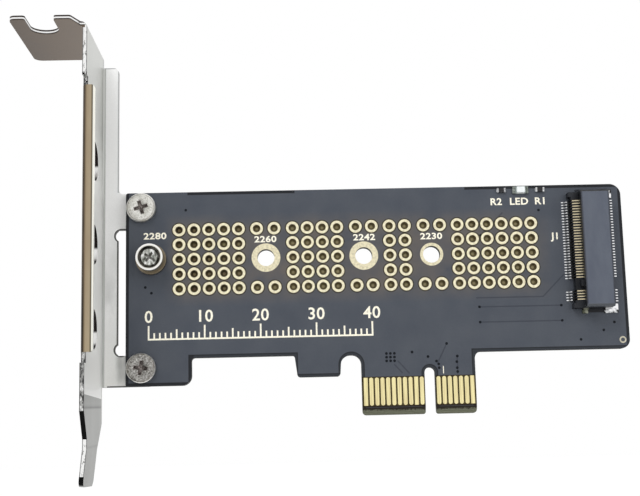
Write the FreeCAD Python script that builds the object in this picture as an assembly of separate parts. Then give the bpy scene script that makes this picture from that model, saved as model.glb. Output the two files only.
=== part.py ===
import FreeCAD, Part
import math
import os

# Expansion card that carries a solid-state drive module: circuit board, folded bracket and socket.
# Frame: origin at the centre of the key notch, on the lower edge of the edge contacts and on the
# board's component face. +X runs along the board away from the bracket, +Z away from the contacts,
# and the component side faces -Y. All lengths are in millimetres.

# Circuit board
board_thickness = 1.57
board_left = 54.1            # key centre to the bracket end
board_right = 36.2           # key centre to the free end
board_top = 41.0
shoulder_height = 10.85      # contacts' lower edge to the board's long lower edge
edge_corner_radius = 0.4
free_upper_radius = 2.0      # corners of the free end
free_lower_radius = 1.6
shoulder_radius = 1.2
foot_width = 11.7            # lower tab under the bracket's lower screw
foot_bottom = 6.0
foot_radius = 1.7
foot_root_radius = 0.6

# Edge tab with its contacts
key_width = 1.9
key_top = 8.25
contact_pitch = 1.0
contact_width = 0.7
contact_foot = 1.65          # lower edge of the tab to the lower end of a contact
contact_top = 6.6
contact_corner = 0.22        # corner cut off each rounded contact
contact_plating = 0.05
first_contact = 1.5          # key centre to the first contact on either side
long_side_contacts = 11
short_side_contacts = 7
square_contact_numbers = (10, 1, 17)
tab_margin = 0.65            # last contact's centre to the tab's edge
tab_corner_radius = 0.65
bevel_height = 1.35
bevel_angle = 20.0

# Retention hook beside the tab
hook_gap = 3.55              # between tab and hook, at its top
hook_gap_top = 10.72
hook_gap_radius = 1.7
hook_width = 7.6             # along its lower edge
hook_inner_lean = 0.25       # towards the tab
hook_outer_lean = 0.5
hook_bottom = 7.0
hook_radius = 0.6

# Places for the module's fixing screw, measured from the module's inner end
module_row = 28.64           # height of the module's centre line
module_end = 31.15           # where an inserted module's edge stops
module_lengths = (80.65, 60.0, 42.3, 30.0)
module_hole_radius = 1.55
land_thickness = 0.05
large_land_radius = 2.6
small_land_radius = 2.1

# Field of ringed holes, closed at the back
ring_pitch = 2.69
ring_rows = 5
ring_hole_radius = 0.55
ring_hole_sides = 6          # the plated rings cover the corners
ring_skin = 0.9              # board left behind each hole
ring_group_starts = (-44.51, -23.98, -6.40, 6.00)
ring_column_counts = (5, 4, 2, 6)
ring_column_pitches = (2.69, 2.69, 2.80, 2.69)
ring_pair_starts = (-30.46, -12.53, -0.22)
ring_pair_pitches = (3.16, 2.90, 3.02)

# Bracket, folded from one sheet
sheet = 0.8
bend_radius = 0.4            # inside of each fold
bracket_gap = 4.5            # board's end to the plate's inner face
plate_width = 18.42
tab_top = 68.05
tab_reach = 12.0             # beyond the plate's outer face
tab_overhang = 3.18          # beyond the plate's near edge
tab_step = 1.2
tab_far_radius = 1.5
tab_near_radius = 1.0
notch_width = 4.9
notch_depth = 7.33
notch_offset = 6.9           # plate's outer face to the notch's centre
notch_mouth_radius = 0.5
flange_reach = 2.9           # plate's inner face to the flange's free edge
flange_top = 65.3
flange_radius = 1.0
ear_reach = 6.3              # how far the ears pass behind the board
ear_radius = 2.5
ear_rise = 0.2               # upper ear above the board's top edge
upper_ear_height = 6.7
lower_ear_height = 5.6
ear_root_radius = 0.9
relief_radius = 1.05
lip_reach = 1.35             # plate's inner face to the lip's free edge
lip_bottom = 10.9
lip_top = 56.7
lip_radius = 0.6
lip_relief = 1.75
lip_relief_depth = 1.3
vent_radius = 3.5
vent_inset = 9.47            # plate's far edge to the vents' centres
vent_height = 30.5
vent_pitch = 14.9
vent_count = 3
tongue_width = 10.2
tongue_inset = 5.07          # plate's far edge to the tongue
tongue_root = -4.9
tongue_end = -11.15
tongue_lean = 6.0
tongue_radius = 1.5
taper_far_top = -0.3
taper_near_top = 1.25
taper_near_bottom = -3.3

# Screws that hold the board to the bracket's ears
screw_inset = 2.8            # board's end to the screws
screw_drop = 2.83            # board's top edge to the upper screw
screw_rise = 3.17            # foot's lower edge to the lower screw
shank_radius = 1.45
shank_length = 4.3
head_radius = 2.65
head_height = 1.2
head_round = 0.35
head_recess = 0.75
recess_arm = 2.5
recess_slot = 0.55
recess_turns = (16.0, -8.0)
thread_clearance = 0.03
hole_clearance = 0.15
collar_radius = 2.2
collar_height = 0.9

# Spacer under the module's end, with its screw and nut
spacer_radius = 2.4
spacer_height = 3.6
spacer_collar_radius = 2.75
spacer_collar_height = 0.9
spacer_cup_radius = 2.0
spacer_cup_depth = 0.9
stud_radius = 1.42
nut_flats = 5.5
nut_sides = 6
nut_height = 1.8
cap_radius = 1.7
cap_height = 0.8
cap_round = 0.25
cap_recess = 0.5
cap_arm = 1.9
cap_slot = 0.42
cap_turn = 35.0
cap_shank_radius = 0.95
cap_shank_length = 3.0
tapping_depth = 3.4

# Module socket
socket_length = 21.1
socket_height = 4.2
socket_front = 26.6
cover_front = 27.95
socket_rear = 33.0
cover_chamfer = 0.4          # along the cover's two short edges
jaw_height = 1.9
slot_floor = 2.0
slot_height = 1.0
slot_length = 20.15
end_post_width = 0.85
end_post_reach = 0.45
groove_width = 0.28
groove_floor = 0.35
roof_recess = 0.5
mouth_lip = 0.4              # cover's front edge to the recess in its roof
rear_wall = 0.3
spring_width = 0.22
spring_thickness = 0.14
spring_grip = 0.1            # how far a spring's tip reaches into the slot
spring_clearance = 0.05      # spring's bend to the roof of its recess
spring_hook = 0.3            # jaw's front to the spring's upright
spring_run = 1.0             # spring's tip to the module's edge, or to the cover's front
spring_shoulder = 0.25       # jaw's top to the spring's upper bend
spring_pitch = 0.5
lower_first = 9.0            # module's centre line to the first lower contact
upper_first = 9.25
lower_contact_counts = (29, 4)
upper_contact_counts = (29, 5)
key_step = 2.5               # from the last contact above the key to the first below it
key_block = 1.1
key_overhang = 0.6           # key standing out of the cover's front
toe_start = 25.2
toe_length = 0.6
toe_rise = 0.15
heel_end = 34.5
clip_thickness = 0.25
clip_height = 1.2
clip_foot = 0.85             # how far a clip's foot spreads from the housing's end
front_clip = (27.9, 28.9)
rear_clip_start = 31.9
rear_clip_spread = 1.4       # foot behind the housing's rear wall
rear_clip_wrap = 0.8         # how far the rear clip turns round the corner

# Lamp and resistors along the top edge
parts_drop = 0.85            # board's top edge to the parts' centre line
lamp_x = 17.8
lamp_length = 2.9
lamp_width = 1.3
lamp_base_height = 0.35
lamp_terminal = 0.5
lens_height = 0.6
lens_length = 1.8
lens_draft = 0.12
resistor_places = {"r1": 21.4, "r2": 14.3}
resistor_length = 1.6
resistor_width = 0.8
resistor_height = 0.45
resistor_terminal = 0.3

# Places that several pieces share
board_back = board_thickness
plate_inner = -board_left - bracket_gap
plate_outer = plate_inner - sheet
flange_front = board_back
flange_back = flange_front + sheet
plate_far = flange_back
plate_near = plate_far - plate_width
fold = bend_radius + sheet
screw_x = screw_inset - board_left
upper_screw = board_top - screw_drop
lower_screw = foot_bottom + screw_rise
screw_heights = (upper_screw, lower_screw)
board_screw_hole = shank_radius + hole_clearance
ear_screw_hole = shank_radius + thread_clearance
module_holes = [module_end - length for length in module_lengths]
spacer_x = module_holes[0]
open_holes = module_holes[1:]
tab_right = first_contact + (short_side_contacts - 1) * contact_pitch + tab_margin
tab_left = -first_contact - (long_side_contacts - 1) * contact_pitch - tab_margin
parts_z = board_top - parts_drop
margin = 1.0                 # how far a cutting tool passes the faces it cuts


def vec(x, y, z):
    return FreeCAD.Vector(x, y, z)


def on_xz(y):
    return lambda a, b: vec(a, y, b)


def on_xy(z):
    return lambda a, b: vec(a, b, z)


def on_yz(x):
    return lambda a, b: vec(x, a, b)


def rounded_face(corners, place):
    """Flat face with straight sides, each corner (a, b, radius) rounded by a tangent arc."""
    flats = [vec(a, b, 0) for a, b, radius in corners]
    starts, middles, ends = [], [], []
    for i, (a, b, radius) in enumerate(corners):
        here = flats[i]
        back = (flats[i - 1] - here).normalize()
        ahead = (flats[(i + 1) % len(flats)] - here).normalize()
        half = back.getAngle(ahead) / 2
        reach = radius / math.tan(half)
        inward = (back + ahead).normalize() if radius else vec(0, 0, 0)
        starts.append(here + back * reach)
        ends.append(here + ahead * reach)
        middles.append(here + inward * (radius / math.sin(half) - radius))
    edges = []
    for i, (a, b, radius) in enumerate(corners):
        start, middle, end = (place(p.x, p.y) for p in (starts[i], middles[i], ends[i]))
        if radius:
            edges.append(Part.Arc(start, middle, end).toShape())
        following = starts[(i + 1) % len(corners)]
        target = place(following.x, following.y)
        if (target - end).Length > 1e-6:
            edges.append(Part.LineSegment(end, target).toShape())
    return Part.Face(Part.Wire(edges))


def plain_face(points, place):
    corners = [place(a, b) for a, b in points]
    return Part.Face(Part.makePolygon(corners + corners[:1]))


def block(x, y, z):
    """Box between pairs of limits, given in either order."""
    lows = [min(pair) for pair in (x, y, z)]
    sizes = [abs(pair[1] - pair[0]) for pair in (x, y, z)]
    return Part.makeBox(*sizes, vec(*lows))


def rod(radius, x, z, y_start, y_end):
    """Round bar across the board, from y_start to y_end."""
    return Part.makeCylinder(radius, y_end - y_start, vec(x, y_start, z), vec(0, 1, 0))


def prism(apothem, sides, x, z, y_start, y_end):
    """Regular prism across the board; the apothem is half its width across flats."""
    corner = apothem / math.cos(math.pi / sides)
    corners = []
    for i in range(sides):
        angle = 2 * math.pi * i / sides
        corners.append((x + corner * math.cos(angle), z + corner * math.sin(angle)))
    return plain_face(corners, on_xz(y_start)).extrude(vec(0, y_end - y_start, 0))


def turned(profile, x, z):
    """Solid of revolution about a line across the board; the profile is (radius, y) pairs."""
    face = plain_face(profile, lambda radius, y: vec(x + radius, y, z))
    return face.revolve(vec(x, 0, z), vec(0, 1, 0), 360)


def save(name, *solids):
    shape = solids[0] if len(solids) == 1 else Part.makeCompound(list(solids))
    shape.exportStep("parts/" + name + ".step")


# Circuit board

def board_outline():
    half_key = key_width / 2
    hook_root = tab_left - hook_gap
    hook_right = hook_root - hook_inner_lean
    hook_left = hook_right - hook_width
    foot_right = foot_width - board_left
    return rounded_face([
        (-board_left, board_top, edge_corner_radius),
        (board_right, board_top, free_upper_radius),
        (board_right, shoulder_height, free_lower_radius),
        (tab_right, shoulder_height, shoulder_radius),
        (tab_right, 0, tab_corner_radius),
        (half_key, 0, edge_corner_radius),
        (half_key, key_top, half_key),
        (-half_key, key_top, half_key),
        (-half_key, 0, edge_corner_radius),
        (tab_left, 0, tab_corner_radius),
        (tab_left, hook_gap_top, hook_gap_radius),
        (hook_root, hook_gap_top, hook_gap_radius),
        (hook_right, hook_bottom, hook_radius),
        (hook_left, hook_bottom, hook_radius),
        (hook_left - hook_outer_lean, shoulder_height, edge_corner_radius),
        (foot_right, shoulder_height, foot_root_radius),
        (foot_right, foot_bottom, foot_radius),
        (-board_left, foot_bottom, edge_corner_radius),
    ], on_xz(0))


def tab_bevels():
    depth = bevel_height * math.tan(math.radians(bevel_angle))
    start = tab_left - margin
    length = tab_right - tab_left + 2 * margin
    front = plain_face([(0, 0), (depth, 0), (0, bevel_height)], on_yz(start))
    back = plain_face([(board_back, 0), (board_back, bevel_height), (board_back - depth, 0)], on_yz(start))
    return [face.extrude(vec(length, 0, 0)) for face in (front, back)]


def ring_places():
    heights = [module_row + (i - (ring_rows - 1) / 2) * ring_pitch for i in range(ring_rows)]
    for first, columns, pitch in zip(ring_group_starts, ring_column_counts, ring_column_pitches):
        for column in range(columns):
            for height in heights:
                yield first + column * pitch, height
    for first, pitch in zip(ring_pair_starts, ring_pair_pitches):
        for x in (first, first + pitch):
            yield x, heights[0]
            yield x, heights[-1]


def circuit_board():
    board = board_outline().extrude(vec(0, board_thickness, 0))
    cuts = tab_bevels()
    for z in screw_heights:
        cuts.append(rod(board_screw_hole, screw_x, z, -margin, board_back + margin))
    for x in module_holes:
        cuts.append(rod(module_hole_radius, x, module_row, -margin, board_back + margin))
    for x, z in ring_places():
        cuts.append(prism(ring_hole_radius, ring_hole_sides, x, z, -margin, board_back - ring_skin))
    return board.cut(cuts)


def contact_places():
    for i in range(long_side_contacts):
        yield -first_contact - i * contact_pitch
    for i in range(short_side_contacts):
        yield first_contact + i * contact_pitch


def edge_contacts(y_face, outward):
    """Plated fingers lying on one face of the tab, most of them with cut corners."""
    half = contact_width / 2
    fingers = []
    for number, x in enumerate(contact_places()):
        cut = 0 if number in square_contact_numbers else contact_corner
        sides = []
        for side in (-1, 1):
            sides.append([
                (x + side * (half - cut), contact_foot),
                (x + side * half, contact_foot + cut),
                (x + side * half, contact_top - cut),
                (x + side * (half - cut), contact_top),
            ])
        outline = sides[0] + sides[1][::-1]
        corners = [point for i, point in enumerate(outline) if point != outline[i - 1]]
        fingers.append(plain_face(corners, on_xz(y_face)).extrude(vec(0, outward * contact_plating, 0)))
    return fingers


def module_hole_lands():
    radii = [large_land_radius, large_land_radius, small_land_radius]
    lands = []
    for x, radius in zip(open_holes, radii):
        land = rod(radius, x, module_row, -land_thickness, 0)
        lands.append(land.cut(rod(module_hole_radius, x, module_row, -margin, margin)))
    return lands


# Bracket

def quarter_fold(centre, outward, along, turn_axis):
    """A quarter of a bend: the sheet's end section turned about the centre of the fold."""
    near = centre + outward * bend_radius
    far = centre + outward * fold
    section = Part.Face(Part.makePolygon([near, far, far + along, near + along, near]))
    return section.revolve(centre, turn_axis, 90)


def plate():
    tongue_far = plate_far - tongue_inset
    tongue_near = tongue_far - tongue_width
    panel = plain_face([
        (plate_near, tab_top - fold),
        (plate_far, tab_top - fold),
        (plate_far, taper_far_top),
        (tongue_far, tongue_root),
        (tongue_near, tongue_root),
        (tongue_near, taper_near_bottom),
        (plate_near, taper_near_top),
    ], on_yz(plate_outer)).extrude(vec(sheet, 0, 0))
    across = (plate_outer - margin, plate_inner + margin)
    lip_relief_bottom = lip_bottom - lip_relief
    lip_relief_top = lip_top + lip_relief
    cuts = [
        block(across, (plate_far - fold, plate_far + margin), (foot_bottom, flange_top)),
        block(across, (plate_near - margin, plate_near + fold), (lip_bottom, lip_top)),
        block(across, (plate_near - margin, plate_near + lip_relief_depth), (lip_relief_bottom, lip_bottom)),
        block(across, (plate_near - margin, plate_near + lip_relief_depth), (lip_top, lip_relief_top)),
    ]
    for i in range(vent_count):
        height = vent_height + (i - (vent_count - 1) / 2) * vent_pitch
        place = vec(plate_outer - margin, plate_far - vent_inset, height)
        cuts.append(Part.makeCylinder(vent_radius, sheet + 2 * margin, place, vec(1, 0, 0)))
    return panel.cut(cuts)


def flange_and_ears():
    start = plate_outer + fold
    edge = plate_inner + flange_reach
    end = ear_reach - board_left
    ear_top = board_top + ear_rise
    window_top = ear_top - upper_ear_height
    window_bottom = foot_bottom + lower_ear_height
    panel = rounded_face([
        (start, foot_bottom, 0),
        (start, flange_top, 0),
        (edge, flange_top, flange_radius),
        (edge, ear_top, ear_root_radius),
        (end, ear_top, ear_radius),
        (end, window_top, ear_radius),
        (edge, window_top, 0),
        (edge, window_bottom, 0),
        (end, window_bottom, ear_radius),
        (end, foot_bottom, ear_radius),
    ], on_xz(flange_front)).extrude(vec(0, sheet, 0))
    relief_x = edge + relief_radius / 2
    cuts = []
    for z in (window_bottom + relief_radius, window_top - relief_radius):
        cuts.append(rod(relief_radius, relief_x, z, flange_front - margin, flange_back + margin))
    collars = []
    for z in screw_heights:
        collars.append(rod(collar_radius, screw_x, z, flange_back, flange_back + collar_height))
        cuts.append(rod(ear_screw_hole, screw_x, z, flange_front - margin, flange_back + collar_height + margin))
    centre = vec(plate_outer + fold, plate_far - fold, foot_bottom)
    bend = quarter_fold(centre, vec(0, 1, 0), vec(0, 0, flange_top - foot_bottom), vec(0, 0, 1))
    return panel.fuse(collars).cut(cuts).fuse(bend)


def lip():
    start = plate_outer + fold
    edge = plate_inner + lip_reach
    panel = rounded_face([
        (start, lip_bottom, 0),
        (start, lip_top, 0),
        (edge, lip_top, lip_radius),
        (edge, lip_bottom, lip_radius),
    ], on_xz(plate_near)).extrude(vec(0, sheet, 0))
    centre = vec(plate_outer + fold, plate_near + fold, lip_bottom)
    bend = quarter_fold(centre, vec(-1, 0, 0), vec(0, 0, lip_top - lip_bottom), vec(0, 0, 1))
    return panel.fuse(bend)


def screw_tab():
    start = plate_inner - fold
    end = plate_outer - tab_reach
    near = plate_near - tab_overhang
    notch_x = plate_outer - notch_offset
    notch_bottom = near + notch_depth
    half = notch_width / 2
    panel = rounded_face([
        (start, plate_far, 0),
        (end, plate_far, tab_far_radius),
        (end, near, tab_near_radius),
        (notch_x - half, near, notch_mouth_radius),
        (notch_x - half, notch_bottom, half),
        (notch_x + half, notch_bottom, half),
        (notch_x + half, near, notch_mouth_radius),
        (start - tab_step, near, notch_mouth_radius),
        (start, plate_near, 0),
    ], on_xy(tab_top - sheet)).extrude(vec(0, 0, sheet))
    centre = vec(plate_inner - fold, plate_near, tab_top - fold)
    bend = quarter_fold(centre, vec(1, 0, 0), vec(0, plate_width, 0), vec(0, -1, 0))
    return panel.fuse(bend)


def tongue():
    far = plate_far - tongue_inset
    near = far - tongue_width
    panel = rounded_face([
        (near, tongue_root, 0),
        (far, tongue_root, 0),
        (far, tongue_end, tongue_radius),
        (near, tongue_end, tongue_radius),
    ], on_yz(plate_outer)).extrude(vec(sheet, 0, 0))
    panel.rotate(vec(plate_inner, 0, tongue_root), vec(0, 1, 0), tongue_lean)
    return panel


def bracket():
    folded = plate().fuse([flange_and_ears(), lip(), screw_tab(), tongue()])
    return folded.removeSplitter()


# Screws, spacer and nut

def cross_recess(arm, slot, depth, x, y_top, z, turn):
    """Cross-shaped driver recess, open at the head's top face."""
    bars = []
    for wide, high in ((arm, slot), (slot, arm)):
        bars.append(block((x - wide / 2, x + wide / 2), (y_top - margin, y_top + depth), (z - high / 2, z + high / 2)))
    cross = bars[0].fuse(bars[1])
    cross.rotate(vec(x, 0, z), vec(0, 1, 0), turn)
    return cross


def pan_screw(x, z, seat, radius, height, edge, shank, length):
    """Round-headed screw standing on a seat; its shank points towards +Y."""
    return turned([
        (0, seat - height),
        (radius - edge, seat - height),
        (radius, seat - height + edge),
        (radius, seat),
        (shank, seat),
        (shank, seat + length),
        (0, seat + length),
    ], x, z)


def bracket_screws():
    screws = []
    for z, turn in zip(screw_heights, recess_turns):
        screw = pan_screw(screw_x, z, 0, head_radius, head_height, head_round, shank_radius, shank_length)
        recess = cross_recess(recess_arm, recess_slot, head_recess, screw_x, -head_height, z, turn)
        screws.append(screw.cut(recess))
    return screws


def standoff():
    bore = cap_shank_radius + thread_clearance
    cup_floor = spacer_cup_depth - spacer_height
    body = turned([
        (0, cup_floor),
        (spacer_cup_radius, cup_floor),
        (spacer_cup_radius, -spacer_height),
        (spacer_radius, -spacer_height),
        (spacer_radius, -spacer_collar_height),
        (spacer_collar_radius, -spacer_collar_height),
        (spacer_collar_radius, 0),
        (stud_radius, 0),
        (stud_radius, board_back + nut_height),
        (0, board_back + nut_height),
    ], spacer_x, module_row)
    return body.cut(rod(bore, spacer_x, module_row, cup_floor - margin, cup_floor + tapping_depth))


def module_screw():
    seat = spacer_cup_depth - spacer_height
    screw = pan_screw(spacer_x, module_row, seat, cap_radius, cap_height, cap_round,
                      cap_shank_radius, cap_shank_length)
    recess = cross_recess(cap_arm, cap_slot, cap_recess, spacer_x, seat - cap_height, module_row, cap_turn)
    return screw.cut(recess)


def standoff_nut():
    nut = prism(nut_flats / 2, nut_sides, spacer_x, module_row, board_back, board_back + nut_height)
    bore = stud_radius + thread_clearance
    return nut.cut(rod(bore, spacer_x, module_row, board_back - margin, board_back + nut_height + margin))


# Module socket

def row_heights(first, groups):
    """Heights of one row of contacts, from its upper end, with the key's step in between."""
    above, below = groups
    for i in range(above):
        yield module_row + first - i * spring_pitch
    resume = module_row + first - (above - 1) * spring_pitch - key_step
    for i in range(below):
        yield resume - i * spring_pitch


def key_height():
    above, below = lower_contact_counts
    return module_row + lower_first - (above - 1) * spring_pitch - key_step / 2


def socket_housing():
    low = module_row - socket_length / 2
    high = module_row + socket_length / 2
    roof = slot_floor + slot_height
    bevel = cover_chamfer - socket_height
    housing = plain_face([
        (0, low),
        (bevel, low),
        (-socket_height, low + cover_chamfer),
        (-socket_height, high - cover_chamfer),
        (bevel, high),
        (0, high),
    ], on_yz(cover_front)).extrude(vec(socket_rear - cover_front, 0, 0))
    jaw = block((socket_front, cover_front), (0, -jaw_height), (low, high))
    posts = []
    for start, end in ((low, low + end_post_width), (high - end_post_width, high)):
        posts.append(block((socket_front - end_post_reach, socket_front), (0, -jaw_height), (start, end)))
    row = (module_row - slot_length / 2, module_row + slot_length / 2)
    riser = socket_rear - rear_wall
    cuts = [
        block((socket_front - margin, module_end + hole_clearance), (-slot_floor, -roof), row),
        block((cover_front + mouth_lip, riser), (-roof, -roof - roof_recess), row),
        block((riser - 2 * spring_thickness, riser), (margin, -roof - roof_recess), row),
        block((riser, socket_rear + margin), (margin, -groove_floor), row),
    ]
    half = groove_width / 2
    for z in row_heights(lower_first, lower_contact_counts):
        cuts.append(block((socket_front - margin, module_end), (-groove_floor, -roof), (z - half, z + half)))
    body = housing.fuse([jaw] + posts).cut(cuts)
    z = key_height()
    key = block((cover_front - key_overhang, module_end), (-jaw_height, -roof - mouth_lip / 2),
                (z - key_block / 2, z + key_block / 2))
    return body.fuse(key).removeSplitter()


def strip(centre_line, z):
    """Flat spring of even thickness along a centre line in the XY plane, one spring_width wide."""
    half = spring_thickness / 2
    left, right = [], []
    last = len(centre_line) - 1
    for i, (x, y) in enumerate(centre_line):
        here = vec(x, y, 0)
        back = here - vec(*centre_line[max(i - 1, 0)], 0)
        ahead = vec(*centre_line[min(i + 1, last)], 0) - here
        back = back.normalize() if i else ahead.normalize()
        ahead = ahead.normalize() if i < last else back
        across = vec(-back.y - ahead.y, back.x + ahead.x, 0).normalize()
        stretch = half / max(across.dot(vec(-back.y, back.x, 0)), 0.5)
        left.append((x + across.x * stretch, y + across.y * stretch))
        right.append((x - across.x * stretch, y - across.y * stretch))
    face = plain_face(left + right[::-1], on_xy(z - spring_width / 2))
    return face.extrude(vec(0, 0, spring_width))


def socket_lower_contacts():
    half = spring_thickness / 2
    toe_end = toe_start + toe_length
    shelf = -groove_floor - half
    line = [
        (toe_start, -half),
        (toe_end, -half),
        (toe_end + toe_rise, shelf),
        (socket_front + spring_hook, shelf),
        (socket_front + spring_hook, -jaw_height + spring_shoulder),
        (module_end - spring_run, -slot_floor - spring_grip),
    ]
    return [strip(line, z) for z in row_heights(lower_first, lower_contact_counts)]


def socket_upper_contacts():
    half = spring_thickness / 2
    ceiling = half + spring_clearance - slot_floor - slot_height - roof_recess
    riser = socket_rear - rear_wall - half
    line = [
        (heel_end, -half),
        (riser, -half),
        (riser, ceiling),
        (cover_front + spring_run, -slot_floor - slot_height + spring_grip),
    ]
    return [strip(line, z) for z in row_heights(upper_first, upper_contact_counts)]


def folded_clip(x_wall, x_foot, z_wall, z_foot):
    """Angle strip: an upright against a wall and a foot flat on the board."""
    upright = block(x_wall, (0, -clip_height), z_wall)
    return upright.fuse(block(x_foot, (0, -clip_thickness), z_foot))


def socket_hold_downs():
    rear_face = (socket_rear, socket_rear + clip_thickness)
    rear_foot = (socket_rear, socket_rear + rear_clip_spread)
    clips = []
    for side in (-1, 1):
        wall = module_row + side * socket_length / 2
        upright = (wall, wall + side * clip_thickness)
        foot = (wall, wall + side * clip_foot)
        wrap = (wall - side * rear_clip_wrap, wall)
        clips.append(folded_clip(front_clip, front_clip, upright, foot).removeSplitter())
        end = folded_clip((rear_clip_start, rear_face[1]), (rear_clip_start, rear_foot[1]), upright, foot)
        clips.append(end.fuse(folded_clip(rear_face, rear_foot, wrap, wrap)).removeSplitter())
    return clips


# Lamp and resistors

def end_caps(x, length, width, height, cap):
    caps = []
    for side in (-1, 1):
        end = x + side * length / 2
        caps.append(block((end - side * cap, end), (0, -height), (parts_z - width / 2, parts_z + width / 2)))
    return caps


def chip_body(x, length, width, height, cap):
    half = length / 2 - cap
    return block((x - half, x + half), (0, -height), (parts_z - width / 2, parts_z + width / 2))


def led_lens():
    def outline(shrink, y):
        a = lens_length / 2 - shrink
        b = lamp_width / 2 - shrink
        corners = [(lamp_x - a, parts_z - b), (lamp_x + a, parts_z - b),
                   (lamp_x + a, parts_z + b), (lamp_x - a, parts_z + b)]
        points = [vec(px, y, pz) for px, pz in corners]
        return Part.makePolygon(points + points[:1])
    foot = outline(0, -lamp_base_height)
    top = outline(lens_draft, -lamp_base_height - lens_height)
    return Part.makeLoft([foot, top], True)


os.makedirs("parts", exist_ok=True)
save("circuit_board", circuit_board())
save("edge_contacts_front", *edge_contacts(0, -1))
save("edge_contacts_back", *edge_contacts(board_back, 1))
save("module_hole_lands", *module_hole_lands())
save("bracket", bracket())
save("bracket_screws", *bracket_screws())
save("standoff", standoff())
save("module_screw", module_screw())
save("standoff_nut", standoff_nut())
save("socket_housing", socket_housing())
save("socket_lower_contacts", *socket_lower_contacts())
save("socket_upper_contacts", *socket_upper_contacts())
save("socket_hold_downs", *socket_hold_downs())
save("led_base", chip_body(lamp_x, lamp_length, lamp_width, lamp_base_height, lamp_terminal))
save("led_terminals", *end_caps(lamp_x, lamp_length, lamp_width, lamp_base_height, lamp_terminal))
save("led_lens", led_lens())
for name, x in resistor_places.items():
    size = (x, resistor_length, resistor_width, resistor_height, resistor_terminal)
    save("resistor_" + name + "_body", chip_body(*size))
    save("resistor_" + name + "_terminals", *end_caps(*size))
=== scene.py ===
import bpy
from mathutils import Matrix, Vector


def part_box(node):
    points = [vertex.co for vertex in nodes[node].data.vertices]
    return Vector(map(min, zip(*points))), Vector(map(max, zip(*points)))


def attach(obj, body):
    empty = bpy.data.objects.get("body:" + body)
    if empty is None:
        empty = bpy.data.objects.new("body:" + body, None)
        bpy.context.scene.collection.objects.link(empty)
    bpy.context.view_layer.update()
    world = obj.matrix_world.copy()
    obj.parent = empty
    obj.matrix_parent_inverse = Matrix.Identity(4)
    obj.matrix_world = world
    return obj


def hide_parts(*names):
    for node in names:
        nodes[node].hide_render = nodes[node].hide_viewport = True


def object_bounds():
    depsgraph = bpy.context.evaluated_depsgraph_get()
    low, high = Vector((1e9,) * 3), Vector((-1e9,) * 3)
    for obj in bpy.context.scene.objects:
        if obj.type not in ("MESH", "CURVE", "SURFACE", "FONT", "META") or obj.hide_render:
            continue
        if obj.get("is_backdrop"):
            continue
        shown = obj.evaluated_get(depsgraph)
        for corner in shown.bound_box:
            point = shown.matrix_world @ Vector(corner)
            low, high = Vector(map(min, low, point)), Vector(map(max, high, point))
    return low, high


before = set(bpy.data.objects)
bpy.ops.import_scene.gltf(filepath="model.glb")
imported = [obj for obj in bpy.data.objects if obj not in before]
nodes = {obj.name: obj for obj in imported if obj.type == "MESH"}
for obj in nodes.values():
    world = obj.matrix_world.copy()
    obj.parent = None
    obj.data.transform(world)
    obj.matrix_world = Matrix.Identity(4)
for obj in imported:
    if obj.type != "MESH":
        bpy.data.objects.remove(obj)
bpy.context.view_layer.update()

# Studio: the card hangs just above a pale floor, in front of a white surround, under large soft lamps.
# The surround is white to the eye and in reflections, and dimmer as a light, so colours stay true;
# bright metal mirrors the surround alone, not the lamps.
import math
from functools import reduce
import bmesh
import bpy
from mathutils import Matrix, Vector

MM = 0.001
scene = bpy.context.scene
scene.view_settings.view_transform = "Standard"


class Sum:
    """A shader socket in an expression: each operator adds its Math node to the material's tree."""

    def __init__(self, shader, socket):
        self.shader = shader
        self.socket = socket

    def math(self, operation, *others):
        values = dict(enumerate((self, *others)))
        return self.shader.node("ShaderNodeMath", {"operation": operation}, values)

    def __add__(self, other):
        return self.math("ADD", other)

    def __sub__(self, other):
        return self.math("SUBTRACT", other)

    def __mul__(self, other):
        return self.math("MULTIPLY", other)

    def __truediv__(self, other):
        return self.math("DIVIDE", other)

    def __radd__(self, other):
        return self + other

    def __rmul__(self, other):
        return self * other

    def __rsub__(self, other):
        return self.shader.node("ShaderNodeMath", {"operation": "SUBTRACT"}, {0: other, 1: self})

    def __pow__(self, power):
        return self.math("POWER", power)

    def __abs__(self):
        return self.math("ABSOLUTE")

    def above(self, edge):
        return self.math("GREATER_THAN", edge)

    def below(self, edge):
        return self.math("LESS_THAN", edge)

    def within(self, low, high):
        return self.above(low) * self.below(high)

    def least(self, other):
        return self.math("MINIMUM", other)

    def most(self, other):
        return self.math("MAXIMUM", other)

    def wrapped(self, period):
        return self.math("FLOORED_MODULO", period)

    def fade(self, start, end):
        """0 up to start, rising to 1 at end."""
        return self.shader.node("ShaderNodeMapRange", {}, {"Value": self, "From Min": start, "From Max": end})


def paint(colour):
    """A colour for a socket: one number for a grey, three for a colour; a Sum goes through as it is."""
    if isinstance(colour, Sum):
        return colour
    return (*colour, 1) if isinstance(colour, tuple) else (colour, colour, colour, 1)


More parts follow.
